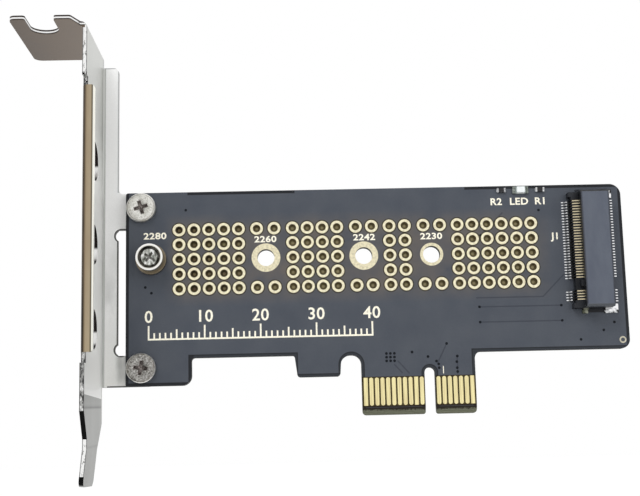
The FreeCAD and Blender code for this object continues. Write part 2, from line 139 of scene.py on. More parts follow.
class Shader:
    """One material's node tree, built node by node."""

    def __init__(self, name, **plain):
        self.material = bpy.data.materials.new(name)
        self.material.use_nodes = True
        self.tree = self.material.node_tree
        self.surface = next(n for n in self.tree.nodes if n.type == "BSDF_PRINCIPLED")
        for key, value in plain.items():
            self.surface.inputs[key.replace("_", " ")].default_value = value

    def node(self, kind, settings=None, inputs=None, output=0):
        made = self.tree.nodes.new(kind)
        for key, value in (settings or {}).items():
            if key == "stops":
                ramp = made.color_ramp
                while len(ramp.elements) < len(value):
                    ramp.elements.new(0.5)
                for element, (position, colour) in zip(ramp.elements, value):
                    element.position = position
                    element.color = paint(colour)
            else:
                setattr(made, key, value)
        for key, value in (inputs or {}).items():
            if isinstance(value, Sum):
                self.tree.links.new(value.socket, made.inputs[key])
            else:
                made.inputs[key].default_value = value
        return Sum(self, made.outputs[output])

    def place(self):
        """Object coordinates as three sockets, in millimetres."""
        where = self.node("ShaderNodeTexCoord", output="Object")
        return [self.node("ShaderNodeSeparateXYZ", {}, {0: where}, axis) / MM for axis in "XYZ"]

    def facing(self):
        """The way the surface faces, as three sockets from -1 to 1."""
        way = self.node("ShaderNodeTexCoord", output="Normal")
        return [self.node("ShaderNodeSeparateXYZ", {}, {0: way}, axis) for axis in "XYZ"]

    def noise(self, scale, detail=3.0, stretch=(1, 1, 1), roughness=0.5):
        """Cloudy values about 0.5; scale is in features per millimetre."""
        where = self.node("ShaderNodeTexCoord", output="Object")
        sized = self.node("ShaderNodeMapping", {}, {"Vector": where, "Scale": [s / MM for s in stretch]})
        return self.node("ShaderNodeTexNoise", {}, {"Vector": sized, "Scale": scale, "Detail": detail,
                                                    "Roughness": roughness})

    def blend(self, factor, first, second):
        inputs = {"Factor": factor, 6: paint(first), 7: paint(second)}
        return self.node("ShaderNodeMix", {"data_type": "RGBA"}, inputs, 2)

    def ramp(self, factor, *stops):
        """Colours along a factor from 0 to 1; each stop is a factor and its colour."""
        return self.node("ShaderNodeValToRGB", {"stops": stops}, {0: factor})

    def feed(self, name, value):
        self.tree.links.new(value.socket, self.surface.inputs[name])

    def bump(self, height, distance, strength=1.0):
        """Surface relief; distance is in millimetres."""
        values = {"Height": height, "Distance": distance * MM, "Strength": strength}
        self.feed("Normal", self.node("ShaderNodeBump", {}, values))


direct_rays = ("Is Camera Ray", "Is Glossy Ray", "Is Transmission Ray")


def pale_floor(gap, reach, glow, share):
    """A floor a gap below the card, in metres. Seen directly, that share of it glows like the surround."""
    low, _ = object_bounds()
    height = low[2] - gap
    mesh = bpy.data.meshes.new("floor")
    corners = [(x * reach, y * reach, height) for x, y in ((-1, -1), (1, -1), (1, 1), (-1, 1))]
    mesh.from_pydata(corners, [], [(0, 1, 2, 3)])
    floor = bpy.data.objects.new("floor", mesh)
    scene.collection.objects.link(floor)
    shader = Shader("pale_floor", Base_Color=(0.85, 0.85, 0.85, 1), Roughness=0.9)
    light = shader.node("ShaderNodeEmission", {}, {"Color": (1, 1, 1, 1), "Strength": glow})
    seen = reduce(Sum.most, [shader.node("ShaderNodeLightPath", output=kind) for kind in direct_rays])
    mixed = shader.node("ShaderNodeMixShader", {}, {0: seen * share, 2: light})
    shader.tree.links.new(shader.surface.outputs[0], mixed.socket.node.inputs[1])
    output = next(n for n in shader.tree.nodes if n.type == "OUTPUT_MATERIAL")
    shader.tree.links.new(mixed.socket, output.inputs["Surface"])
    mesh.materials.append(shader.material)
    floor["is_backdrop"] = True


def white_surround(light):
    """A world of full strength where it is seen or mirrored, and of strength light where it lights."""
    world = bpy.data.worlds.new("surround")
    world.use_nodes = True
    scene.world = world
    tree = world.node_tree
    background = tree.nodes["Background"]
    background.inputs["Color"].default_value = (1, 1, 1, 1)
    path = tree.nodes.new("ShaderNodeLightPath")
    seen = path.outputs[direct_rays[0]]
    for kind in direct_rays[1:]:
        either = tree.nodes.new("ShaderNodeMath")
        either.operation = "MAXIMUM"
        tree.links.new(seen, either.inputs[0])
        tree.links.new(path.outputs[kind], either.inputs[1])
        seen = either.outputs[0]
    level = tree.nodes.new("ShaderNodeMapRange")
    level.inputs["To Min"].default_value = light
    level.inputs["To Max"].default_value = 1.0
    tree.links.new(seen, level.inputs["Value"])
    tree.links.new(level.outputs[0], background.inputs["Strength"])
    world.cycles.sampling_method = "NONE"


def soft_lamp(name, place, size, power):
    """A round lamp aimed at the card's middle, which bright metal doesn't mirror."""
    lamp = bpy.data.lights.new(name, "AREA")
    lamp.shape = "DISK"
    lamp.size = size
    lamp.energy = power
    thing = bpy.data.objects.new(name, lamp)
    scene.collection.objects.link(thing)
    aim = card_middle - Vector(place)
    thing.location = place
    thing.rotation_euler = aim.to_track_quat("-Z", "Y").to_euler()
    thing.visible_glossy = False


def view_camera(eye, right, up, focal_length):
    """The viewer stands low, to the left of the middle and 22 cm away; the eye is in mm."""
    camera = bpy.data.cameras.new("view")
    camera.sensor_width = 36
    camera.lens = focal_length
    camera.clip_start = 0.01
    thing = bpy.data.objects.new("view", camera)
    scene.collection.objects.link(thing)
    turn = Matrix((right, up, right.cross(up))).transposed().to_4x4()
    thing.matrix_world = Matrix.Translation(eye * MM) @ turn
    scene.camera = thing


card_middle = Vector((0, 0, 0.02))
pale_floor(gap=0.4 * MM, reach=1.5, glow=1.06, share=0.88)
white_surround(light=0.55)
soft_lamp("key", (-0.25, -0.45, 0.45), size=0.35, power=1.6)
soft_lamp("fill", (0.35, -0.4, 0.15), size=0.3, power=0.7)
soft_lamp("back", (0.1, 0.45, 0.35), size=0.35, power=1.6)
view_camera(eye=Vector((-23.526, -217.642, -7.021)), right=Vector((0.99958, -0.01652, -0.02376)),
            up=Vector((0.02063, -0.16894, 0.98541)), focal_length=68.61)


# Circuit board: glass-fibre laminate with copper on both faces under a satin black mask, routed to shape.
# The copper stops short of the cut edge, which leaves a darker band, and the tab's lower end is bare.
def finish_node(name, shader):
    """Dress a CAD node in one material."""
    slots = nodes[name].data.materials
    slots.clear()
    slots.append(shader.material)


def box_mm(node):
    return [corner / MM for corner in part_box(node)]


board_low, board_high = box_mm("circuit_board")
board_left, board_right = board_low.x, board_high.x
board_back, board_top = board_high.y, board_high.z
shoulder = 10.85
foot_right, foot_bottom = board_left + 11.7, 6.0
tab_left, tab_right = -12.15, 8.15
contact_foot, contact_top = 1.65, 6.6
bevel_top = 1.35
tracks = (((-5.6, 9.45), (-3.7, 7.3)), ((-6.25, 8.85), (-4.95, 7.4)), ((4.98, 10.1), (4.98, 7.0)),
          ((9.4, 18.85), (24.2, 18.85)), ((9.4, 16.1), (24.2, 16.1)), ((1.5, 9.0), (3.2, 12.4)),
          ((14.3, 36.0), (10.2, 31.9)), ((24.9, 24.4), (21.0, 20.5)), ((21.0, 20.5), (9.0, 20.5)))


def outline_distance(x, z):
    """Distance in from the board's outline, from the sides of its main field, its foot and its tab."""
    slot_z, slot_half = 9.0, 1.78
    slot_x = tab_left - slot_half
    key_z, key_half = 7.3, 0.95
    hook_left, hook_bottom = -24.0, 7.0
    field = (x - board_left).least(board_right - x).least(board_top - z).least(z - shoulder)
    foot = (x - board_left).least(foot_right - x).least(z - foot_bottom)
    slot = ((x - slot_x) ** 2 + (z - slot_z).most(0) ** 2) ** 0.5 - slot_half
    tab = (x - hook_left).least(tab_right - x).least(z - x.below(slot_x) * hook_bottom).least(slot)
    key = (x ** 2 + (z - key_z).most(0) ** 2) ** 0.5 - key_half
    return field.most(foot).most(tab).least(key)


def line_distance(x, z, start, end):
    """Distance from a straight track between two places."""
    run = (end[0] - start[0], end[1] - start[1])
    along = (((x - start[0]) * run[0] + (z - start[1]) * run[1]) / math.hypot(*run) ** 2).fade(0, 1)
    return ((x - start[0] - along * run[0]) ** 2 + (z - start[1] - along * run[1]) ** 2) ** 0.5


def mask_colour(mask, x, z, front, cloud, grain):
    """Black mask, a little brown from handling between the ringed holes."""
    shade = cloud * 0.8 + grain * 0.2
    colour = mask.ramp(shade, (0.32, (0.059, 0.068, 0.086)), (0.68, (0.077, 0.086, 0.103)))
    handled = x.fade(-47.5, -44.5) * (1 - x.fade(20, 23)) * z.fade(20, 23) * (1 - z.fade(34.2, 37)) * front
    return mask.blend(handled * cloud.fade(0.25, 0.65) * 0.9, colour, (0.120, 0.105, 0.094))


def cut_edge_colour(mask, y, z):
    """Cut faces and the milled bevel show the laminate's layers as fine lines."""
    weave = (y * 11 + mask.noise(0.9, 2.0) * 1.5).wrapped(1.0).fade(0.2, 0.8)
    cut = mask.blend(weave, (0.010, 0.011, 0.010), (0.030, 0.031, 0.024))
    bevel = mask.blend(weave, (0.084, 0.089, 0.058), (0.175, 0.180, 0.130))
    ragged_top = (z + (mask.noise(3.5, 3.0) - 0.5) * 0.9).fade(0.72, 0.98)
    bevel = mask.blend(ragged_top, bevel, (0.018, 0.014, 0.009))
    on_bevel = z.below(bevel_top) * abs(y - board_back / 2).above(0.31)
    return mask.blend(on_bevel, cut, bevel)


def board_finish():
    mask = Shader("black_mask", Specular_IOR_Level=0.25)
    x, y, z = mask.place()
    skin = 0.02
    front = y.below(skin)
    faces = front + y.above(board_back - skin)
    inset = outline_distance(x, z)
    copper = inset.fade(0.4, 0.5)
    track = (1 - reduce(Sum.least, [line_distance(x, z, *ends) for ends in tracks]).fade(0.09, 0.16)) * front
    cloud = mask.noise(0.18, 4.0)
    grain = mask.noise(3.0, 2.0)
    colour = mask_colour(mask, x, z, front, cloud, grain)
    colour = mask.blend(track * 0.55, colour, (0.026, 0.030, 0.042))
    band = (1 - copper) * faces
    lower_end = z.below(13) * x.above(-42)
    colour = mask.blend(band, colour, mask.blend(lower_end, (0.020, 0.022, 0.026), (0.034, 0.039, 0.046)))
    rim = (1 - abs(inset - 0.47).fade(0.05, 0.12)) * front
    colour = mask.blend(rim * 0.85, colour, (0.010, 0.010, 0.012))
    # Painted shadow: a dark band on the mask along the socket's lower end.
    socket_shadow = x.within(28.9, 31.9) * z.within(17.4, 18.2) * front
    colour = mask.blend(socket_shadow * 0.85, colour, (0.014, 0.013, 0.015))
    # The mask is left off round the contacts: bare brown laminate, darkest just past their ends.
    bare = z.within(bevel_top, contact_top + 0.15) * x.within(tab_left, tab_right) * faces
    laminate = mask.ramp(mask.noise(1.2, 3.0), (0.3, (0.030, 0.022, 0.006)), (0.7, (0.075, 0.056, 0.016)))
    past_ends = z.below(contact_foot - 0.05) + z.above(contact_top + 0.03)
    colour = mask.blend(bare, colour, laminate)
    colour = mask.blend(bare * past_ends, colour, (0.016, 0.010, 0.006))
    mask.feed("Base Color", mask.blend(1 - faces, colour, cut_edge_colour(mask, y, z)))
    mask.feed("Roughness", 0.36 + grain * 0.10 + (1 - faces) * 0.30 + bare * 0.15)
    mask.feed("Metallic", band * 0.45)
    mask.bump(copper * 0.7 + track * 0.5 + grain * 0.12, 0.03, 0.6)
    return mask


finish_node("circuit_board", board_finish())


# Ringed holes: a field of plated holes on a 2.69 mm grid, closed at the back, each with a wide gold land.
# Every hole is lined with copper and plugged, so its floor is dark resin with a small dimple.
class Pattern:
    """A Geometry Nodes tree that sets a small shape on every point; its sizes are named inputs in mm."""

    def __init__(self, name, **sizes):
        self.name = name
        self.sizes = sizes
        self.tree = bpy.data.node_groups.new(name, "GeometryNodeTree")
        sockets = self.tree.interface
        sockets.new_socket("Geometry", in_out="INPUT", socket_type="NodeSocketGeometry")
        sockets.new_socket("Geometry", in_out="OUTPUT", socket_type="NodeSocketGeometry")
        for size in sizes:
            sockets.new_socket(size, in_out="INPUT", socket_type="NodeSocketFloat")
        given = list(self.tree.nodes.new("NodeGroupInput").outputs)
        self.points = given[0]
        self.given = given[1:len(sizes) + 1]

    def node(self, kind, settings=None, inputs=None, output=0):
        made = self.tree.nodes.new(kind)
        for key, value in (settings or {}).items():
            setattr(made, key, value)
        for key, value in (inputs or {}).items():
            for one in value if isinstance(value, list) else [value]:
                if isinstance(one, bpy.types.NodeSocket):
                    self.tree.links.new(one, made.inputs[key])
                else:
                    made.inputs[key].default_value = one
        return made.outputs[output]

    def math(self, operation, *values):
        return self.node("ShaderNodeMath", {"operation": operation}, dict(enumerate(values)))

    def raised(self, shape, height):
        """The shape moved off the board by a socket's height."""
        shift = self.node("ShaderNodeCombineXYZ", {}, {2: height})
        return self.node("GeometryNodeTransform", {}, {"Geometry": shape, "Translation": shift})

    def rectangle(self, width, height):
        return self.node("GeometryNodeCurvePrimitiveQuadrilateral", {}, {"Width": width, "Height": height})

    def ring(self, outer, inner, thickness, steps=20):
        """Flat ring lying on the board."""
        middle = self.math("MULTIPLY", self.math("ADD", outer, inner), 0.5)
        path = self.node("GeometryNodeCurvePrimitiveCircle", {}, {"Resolution": steps, "Radius": middle})
        width = self.math("SUBTRACT", outer, inner)
        section = self.rectangle(width, thickness)
        band = self.node("GeometryNodeCurveToMesh", {}, {"Curve": path, "Profile Curve": section})
        return self.raised(band, self.math("MULTIPLY", thickness, 0.5))

    def slab(self, profile, thickness):
        """Closed plate with a given outline, lying on the board."""
        end = self.node("ShaderNodeCombineXYZ", {}, {2: thickness})
        path = self.node("GeometryNodeCurvePrimitiveLine", {}, {"End": end})
        inputs = {"Curve": path, "Profile Curve": profile, "Fill Caps": True}
        return self.node("GeometryNodeCurveToMesh", {}, inputs)

    def disc(self, radius, thickness, steps=12):
        outline = self.node("GeometryNodeCurvePrimitiveCircle", {}, {"Resolution": steps, "Radius": radius})
        return self.slab(outline, thickness)

    def lay(self, shape, points, shader, turn=90.0, stretch=None, smooth=False):
        """Set the shape on each point, outwards from the board, and keep the result as a plain mesh."""
        inputs = {"Points": self.points, "Instance": shape, "Rotation": (math.radians(turn), 0, 0)}
        mesh = bpy.data.meshes.new(self.name)
        mesh.from_pydata(points, [], [])
        if stretch:
            values = mesh.attributes.new("stretch", "FLOAT_VECTOR", "POINT")
            for item, value in zip(values.data, stretch):
                item.vector = value
            inputs["Scale"] = self.node("GeometryNodeInputNamedAttribute", {"data_type": "FLOAT_VECTOR"},
                                        {"Name": "stretch"})
        spread = self.node("GeometryNodeInstanceOnPoints", {}, inputs)
        real = self.node("GeometryNodeRealizeInstances", {}, {"Geometry": spread})
        faced = self.node("GeometryNodeSetShadeSmooth", {}, {"Geometry": real, "Shade Smooth": smooth})
        done = self.node("GeometryNodeSetMaterial", {}, {"Geometry": faced, "Material": shader.material})
        self.tree.links.new(done, self.tree.nodes.new("NodeGroupOutput").inputs[0])
        piece = bpy.data.objects.new(self.name, mesh)
        scene.collection.objects.link(piece)
        modifier = piece.modifiers.new(self.name, "NODES")
        modifier.node_group = self.tree
        for socket in self.tree.interface.items_tree:
            if socket.name in self.sizes:
                modifier[socket.identifier] = self.sizes[socket.name] * MM
        plain = bpy.data.meshes.new_from_object(piece.evaluated_get(bpy.context.evaluated_depsgraph_get()))
        piece.modifiers.clear()
        piece.data = plain
        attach(piece, "root")
        return piece


def gold_finish(name, colour, roughness, streak=0.0):
    """Gold over copper; streak adds fine upright wiping marks."""
    gold = Shader(name, Metallic=1.0)
    marks = gold.noise(7.0, 2.0, (1, 1, 0.03)) if streak else gold.noise(2.5, 3.0)
    dark = tuple(c * (0.80 - streak) for c in colour)
    light = tuple(min(c * 1.08, 1.0) for c in colour)
    gold.feed("Base Color", gold.ramp(marks, (0.32, dark), (0.62, light)))
    gold.feed("Roughness", roughness + marks * 0.12)
    gold.bump(marks, 0.004, 0.4)
    return gold


def on_front(x, z, out=0.0):
    """Point in metres on the component face, out millimetres in front of it."""
    return (x * MM, -out * MM, z * MM)


hole_row, hole_pitch, hole_rows = 28.64, 2.69, 5
hole_blocks = ((-44.51, 5, hole_pitch), (-23.98, 4, hole_pitch), (-6.40, 2, 2.80), (6.00, 6, hole_pitch))
outer_pairs = ((-30.46, 3.16), (-12.53, 2.90), (-0.22, 3.02))


def ringed_places():
    """Blocks of full columns, and pairs in the outer rows alone, above and below each screw hole."""
    heights = [hole_row + (i - (hole_rows - 1) / 2) * hole_pitch for i in range(hole_rows)]
    for first, columns, pitch in hole_blocks:
        for column in range(columns):
            for z in heights:
                yield on_front(first + column * pitch, z)
    for first, pitch in outer_pairs:
        for x in (first, first + pitch):
            yield on_front(x, heights[0])
            yield on_front(x, heights[-1])


def well_finish():
    """Plated wall painted dark as shade, a dark resin floor with a faint dimple; painted light on those to
    the right.
    """
    well = Shader("hole_lining", Metallic=0.6, Roughness=0.5)
    x, y, _ = well.place()
    mottle = well.noise(1.5, 2.0)
    lit = x.fade(-42, -26)
    collar = well.ramp(mottle, (0.3, (0.040, 0.026, 0.006)), (0.7, (0.085, 0.062, 0.022)))
    wall = well.blend(lit, (0.050, 0.032, 0.012), (0.36, 0.27, 0.15))
    floor = well.ramp(well.noise(0.12, 2.0), (0.40, (0.022, 0.014, 0.005)), (0.58, (0.075, 0.060, 0.020)))
    floor = well.blend(lit * 0.75, floor, (0.17, 0.14, 0.065))
    centre = well.ramp(well.noise(0.2, 2.0), (0.40, (0.110, 0.065, 0.035)), (0.60, (0.22, 0.18, 0.080)))
    centre = well.blend(lit * 0.75, centre, (0.36, 0.31, 0.17))
    colour = well.blend(y.fade(0.05, 0.30), collar, wall)
    colour = well.blend(y.fade(0.40, 0.50), colour, floor)
    well.feed("Base Color", well.blend(y.fade(0.52, 0.54), colour, centre))
    well.bump(mottle, 0.02)
    return well


def thin_mask(name, roughness, scale, dark, light):
    """Mask that lies thin and dark over a drilled or etched edge."""
    mask = Shader(name, Roughness=roughness, Specular_IOR_Level=0.1)
    mask.feed("Base Color", mask.ramp(mask.noise(scale, 2.0), (0.3, dark), (0.7, light)))
    return mask


places = list(ringed_places())
lands = Pattern("ring_lands", outer=1.165, inner=0.69, height=0.05)
lands.lay(lands.ring(*lands.given), places, gold_finish("land_gold", (0.96, 0.87, 0.63), 0.34))
halo = Pattern("ring_surrounds", outer=1.34, inner=1.17, height=0.012)
mask_rim = thin_mask("mask_rim", 0.6, 2.0, (0.014, 0.011, 0.003), (0.040, 0.032, 0.013))
halo.lay(halo.ring(*halo.given), places, mask_rim)
wells = Pattern("ring_linings", outer=0.625, inner=0.54, wall=0.60, floor=0.08, dimple=0.28, collar=0.70)
outer, inner, wall, floor_rise, dimple, collar = wells.given
bottom = wells.math("MULTIPLY", wall, -0.98)
lining = wells.raised(wells.ring(outer, inner, wall, 14), bottom)
floor_ring = wells.raised(wells.ring(inner, dimple, floor_rise, 10), bottom)
floor_dimple = wells.raised(wells.disc(dimple, wells.math("MULTIPLY", floor_rise, 0.3), 8), bottom)
collar_ring = wells.ring(collar, outer, wells.math("MULTIPLY", floor_rise, 0.25), 16)
linings = [lining, floor_ring, floor_dimple, collar_ring]
cup = wells.node("GeometryNodeJoinGeometry", {}, {"Geometry": linings})
wells.lay(cup, places, well_finish())


# Lands of the open screw holes and the small test ring: copper left free of the mask and gold plated.
# A module's screw presses on the wide ones; the test ring is thin and duller.
finish_node("module_hole_lands", gold_finish("screw_land_gold", (0.88, 0.81, 0.58), 0.36))
test_ring = Pattern("test_ring", outer=0.62, inner=0.36, height=0.03)
test_ring.lay(test_ring.ring(*test_ring.given), [on_front(34.94, 12.4)],
              gold_finish("test_ring_gold", (0.62, 0.58, 0.46), 0.35))


# Vias: drilled and plated through, then covered by the mask, so each is a small dark dimple. Nine stand
# in a square above the contacts, and the others end the tracks or lead to the back.
grid_x, grid_z, step_x, step_z = -6.93, 10.18, 0.71, 0.66
via_grid = [(grid_x + i * step_x, grid_z + j * step_z) for i in (-1, 0, 1) for j in (-1, 0, 1)]
via_singles = [(-3.05, 11.0), (-0.22, 10.14), (1.26, 9.3), (1.64, 8.76), (1.7, 8.1), (5.02, 10.11),
               (4.9, 9.11), (4.93, 8.03), (4.98, 7.35), (-43.26, 37.67), (-50.6, 23.66), (-49.5, 22.6),
               (31.6, 14.2), (33.6, 15.6), (24.2, 18.85), (24.2, 16.1), (9.4, 18.85), (9.4, 16.1),
               (3.2, 12.4), (10.2, 31.9), (21.0, 36.4), (27.4, 12.6)]
vias = Pattern("covered_vias", radius=0.25, height=0.012)
via_mask = thin_mask("via_mask", 0.5, 4.0, (0.004, 0.005, 0.007), (0.012, 0.014, 0.018))
vias.lay(vias.disc(*vias.given), [on_front(x, z) for x, z in via_grid + via_singles], via_mask)


# Edge contacts: hard gold fingers on both faces of the tab, at a pitch of 1 mm, most with round ends.
# The first, the last and the ground finger beside the notch have square ends.
finger_places = [-1.5 - i for i in range(11)] + [1.5 + i for i in range(7)]
square_ended = (-11.5, -2.5, 7.5)
finger_middle = (contact_foot + contact_top) / 2
finger_gold = gold_finish("finger_gold", (1.0, 0.84, 0.45), 0.26, streak=0.06)
for side, y, turn in (("front", 0.0, 90.0), ("back", board_back, -90.0)):
    for form, corner, chosen in (("round", 0.33, False), ("square", 0.04, True)):
        pattern = Pattern(f"{form}_fingers_{side}", width=0.7, length=contact_top - contact_foot,
                          corner=corner, height=0.05)
        width, length, corner_size, height = pattern.given
        trimmed = pattern.node("GeometryNodeFilletCurve", {"mode": "POLY"},
                               {"Curve": pattern.rectangle(width, length), "Radius": corner_size, "Count": 5})
        where = [(x * MM, y * MM, finger_middle * MM) for x in finger_places
                 if (x in square_ended) == chosen]
        piece = pattern.lay(pattern.slab(trimmed, height), where, finger_gold, turn)
        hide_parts(f"edge_contacts_{side}")


# Legends: cream ink screened on the mask, a few hundredths thick. They name the four places for a
# module's screw and the small parts; a plain millimetre scale fills the left end below the holes.
legend_ink = Shader("legend_ink", Roughness=0.5)
ink_cover = legend_ink.noise(5.0, 3.0)
legend_ink.feed("Base Color", legend_ink.ramp(ink_cover, (0.30, (0.78, 0.72, 0.54)),
                                              (0.45, (0.98, 0.94, 0.79))))
legend_ink.feed("Roughness", 0.42 + ink_cover * 0.2)
legend_ink.bump(ink_cover, 0.006)
ink_height = 0.016
capital_share = 0.70
weld_distance = 0.0005 * MM


def print_legends(name, legends, widened=1.0):
    """Raised letters on the component face, all in one mesh. A legend is words, x, lower edge and height."""
    letters = bmesh.new()
    for words, x, z, height in legends:
        text = bpy.data.curves.new(name, "FONT")
        text.body = words
        text.align_x = "CENTER"
        text.size = height / capital_share * MM
        text.space_character = 1.06
        text.resolution_u = 3
        text.extrude = ink_height / 2 * MM
        text.offset = 0.045 * MM
        written = bpy.data.objects.new(name, text)
        scene.collection.objects.link(written)
        flat = bpy.data.meshes.new_from_object(written.evaluated_get(bpy.context.evaluated_depsgraph_get()))
        upright = Matrix.Rotation(math.pi / 2, 4, "X") @ Matrix.Diagonal((widened, 1, 1, 1))
        flat.transform(Matrix.Translation(Vector(on_front(x, z, ink_height / 2))) @ upright)
        letters.from_mesh(flat)
        bpy.data.objects.remove(written)
        bpy.data.meshes.remove(flat)
    bmesh.ops.remove_doubles(letters, verts=letters.verts, dist=weld_distance)
    bmesh.ops.recalc_face_normals(letters, faces=letters.faces)
    mesh = bpy.data.meshes.new(name)
    letters.to_mesh(mesh)
    letters.free()
    mesh.materials.append(legend_ink.material)
    piece = bpy.data.objects.new(name, mesh)
    scene.collection.objects.link(piece)
    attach(piece, "root")


print_legends("module_size_legends", [("2280", -48.85, 32.45, 1.14), ("2260", -28.9, 31.5, 1.10),
                                      ("2242", -11.0, 31.5, 1.10), ("2230", 1.2, 31.45, 1.10)], 1.22)
print_legends("part_legends", [("R2", 13.3, 37.5, 1.25), ("LED", 17.5, 37.5, 1.25), ("R1", 21.45, 37.5, 1.25),
                               ("J1", 23.85, 30.95, 1.2)], 1.08)
scale_start, scale_foot, scale_length = -50, 14.4, 40
print_legends("scale_numbers", [(str(step * 10), scale_start + step * 10, scale_foot + 2.9, 2.1)
                                for step in range(5)])
stroke = 0.3
# The scale's base line, its ticks, and the short mark beside the tab's notch.
tick_places = [(scale_start + scale_length / 2, scale_foot - stroke / 2)]
tick_sizes = [((scale_length + stroke) / stroke, stroke, 1.0)]
for step in range(scale_length + 1):
    length = 2.3 if step % 10 == 0 else (1.6 if step % 5 == 0 else 1.0)
    tick_places.append((scale_start + step, scale_foot + length / 2))
    tick_sizes.append((1.0, length, 1.0))
tick_places.append((2.45, 7.73))
tick_sizes.append((0.5, 1.32, 1.0))
ticks = Pattern("scale_ticks", width=stroke, length=1.0, height=ink_height)
width, length, height = ticks.given
ticks.lay(ticks.slab(ticks.rectangle(width, length), height), [on_front(x, z) for x, z in tick_places],
          legend_ink, stretch=tick_sizes)


# Bracket: one sheet of 0.8 mm steel, stamped, folded and bright nickel plated. The plate stands across
# the board's end, with a flange and two ears behind the board, a lip in front, and a tongue below.
def distance(x, z, middle):
    """Distance across the board from a middle, for a round thing."""
    return ((x - middle[0]) ** 2 + (z - middle[1]) ** 2) ** 0.5


plate_middle, plate_inside = -59.0, -58.5
flange_front, ears_top = 1.5, 41.5
reliefs = ((-55.17, 12.65), (-55.17, 33.45))
vent_z, vent_pitch = 30.5, 14.9
taper_top, taper_foot = 1.25, -3.3
tab_underside, tab_edge = 67.3, 67.62
nearly_black = (0.045, 0.045, 0.040)


def plate_painted_reflection(steel, y, z):
    """Painted reflection and shade: dark low down as if mirroring a bench, pale higher up like the surround,
    a dark line at each crease.
    """
    shade = ((0.0, 0.32), (0.086, 0.33), (0.089, 0.25), (0.093, 0.34), (0.168, 0.35), (0.172, 0.13),
             (0.177, 0.31), (0.204, 0.28), (0.209, 0.17), (0.216, 0.64), (0.45, 0.60), (0.85, 0.62),
             (0.95, 0.66))
    level = z - (y + 16) * 0.045
    return steel.ramp(level.fade(-12, 68), *((at, (v, v * 1.01, v * 0.97)) for at, v in shade))


def flange_colour_and_shade(steel, x, z, cloud, cut):
    """Pale, darker and mottled towards its foot. Painted shade: grey on the fold and the top edge, nearly
    black round the ears.
    """
    flange = steel.blend(z.fade(6, 24), (0.86, 0.86, 0.83), (0.99, 0.99, 0.985))
    mottle = cloud.fade(0.48, 0.66) * (1 - z.fade(12, 34))
    flange = steel.blend(mottle * 0.75, flange, (0.42, 0.43, 0.41))
    # Painted shade: a grey line along the fold, and grey along the edge above the ears.
    flange = steel.blend(x.within(-58.75, -58.1), flange, (0.50, 0.51, 0.49))
    painted_rim_shade = x.above(-55.86).most(z.above(65.1)) * z.above(ears_top)
    flange = steel.blend(painted_rim_shade, flange, (0.50, 0.51, 0.51))
    # Painted shade: nearly black round the ear's window and the reliefs, and along the foot.
    relief = reduce(Sum.least, [distance(x, z, place) for place in reliefs])
    edge = x.above(-55.92) * z.within(13.4, 32.7)
    edge = edge.most(relief.below(1.30)).most(x.above(-55.4) * z.within(34.25, 34.75))
    edge = edge.most(z.below(6.22) * x.above(-57.6)) * x.below(-53.9)
    flange = steel.blend(edge, flange, nearly_black)
    # Painted shade: cut faces nearly black below the ears and grey above them.
    cut_face_shade = steel.blend(z.above(ears_top), nearly_black, 0.36)
    return steel.blend(cut * x.above(plate_inside), flange, cut_face_shade)


def sheared_edge_painted_glints(steel, x, z):
    """Painted glints and shade on the sheared edges: bright metal between dark corners, black where the taper
    starts.
    """
    sheared = steel.noise(2.4, 4.0, (1, 1, 0.5), 0.7)
    glint = steel.ramp(sheared, (0.40, 0.06), (0.50, (0.38, 0.38, 0.37)), (0.64, (0.95, 0.95, 0.94)))
    bright = steel.ramp(sheared, (0.40, (0.30, 0.30, 0.29)), (0.48, (0.97, 0.97, 0.96)))
    edge = steel.blend(z.within(taper_top, 57.5), bright, glint)
    off_middle = abs(x - plate_middle + (-4.9 - z).most(0) * 0.105)
    cornered = z.above(taper_top) + z.below(taper_foot) * sheared.above(0.42)
    edge = steel.blend(off_middle.above(0.27) * cornered * 0.8, edge, 0.05)
    black = z.within(taper_foot, taper_top).most(z.below(-9.4))
    black = black.most(z.within(56.6, 59.0) * sheared.above(0.50))
    return steel.blend(black, edge, 0.008)


def vent_painted_shading(steel, z):
    """Each round vent shows a crescent of its wall: painted shade above and a painted highlight below."""
    from_vent = (z - vent_z + vent_pitch / 2).wrapped(vent_pitch)
    return steel.ramp(from_vent.fade(3.9, 11), (0.0, 0.006), (0.12, 0.020), (0.20, (0.95, 0.95, 0.94)),
                      (0.44, (0.95, 0.95, 0.94)), (0.50, (0.020, 0.016, 0.016)))


def lip_painted_reflection(steel, x, cloud):
    """Painted reflection and shade: tan as if mirroring a bench, black along its fold, a painted highlight on
    its free edge.
    """
    lip = steel.ramp(x.fade(-59.4, -57.2), (0.0, (0.018, 0.014, 0.010)), (0.21, (0.030, 0.024, 0.016)),
                     (0.30, (0.26, 0.205, 0.13)), (0.40, (0.41, 0.33, 0.22)), (0.69, (0.46, 0.38, 0.26)),
                     (0.76, (0.20, 0.17, 0.11)), (0.82, (0.06, 0.055, 0.035)), (0.87, (0.97, 0.96, 0.87)))
    return steel.blend(cloud.fade(0.35, 0.65) * x.below(-57.6) * 0.35, lip, (0.30, 0.215, 0.150))


def tab_colour(steel, x, z, face_z, cloud):
    """The tab turns outwards at the top. Painted shade darkens its underside; its sheared edge has a painted
    highlight between dark corners.
    """
    under = steel.ramp(cloud * 0.5 + x.fade(-72, -59) * 0.5, (0.25, (0.096, 0.070, 0.050)),
                       (0.75, (0.182, 0.142, 0.108)))
    edge = steel.blend(abs(z - tab_edge).fade(0.09, 0.17), (0.96, 0.96, 0.95), (0.06, 0.05, 0.045))
    tab = steel.blend(z.above(tab_underside), under, edge)
    return steel.blend(face_z.above(0.7), tab, (0.62, 0.62, 0.61))


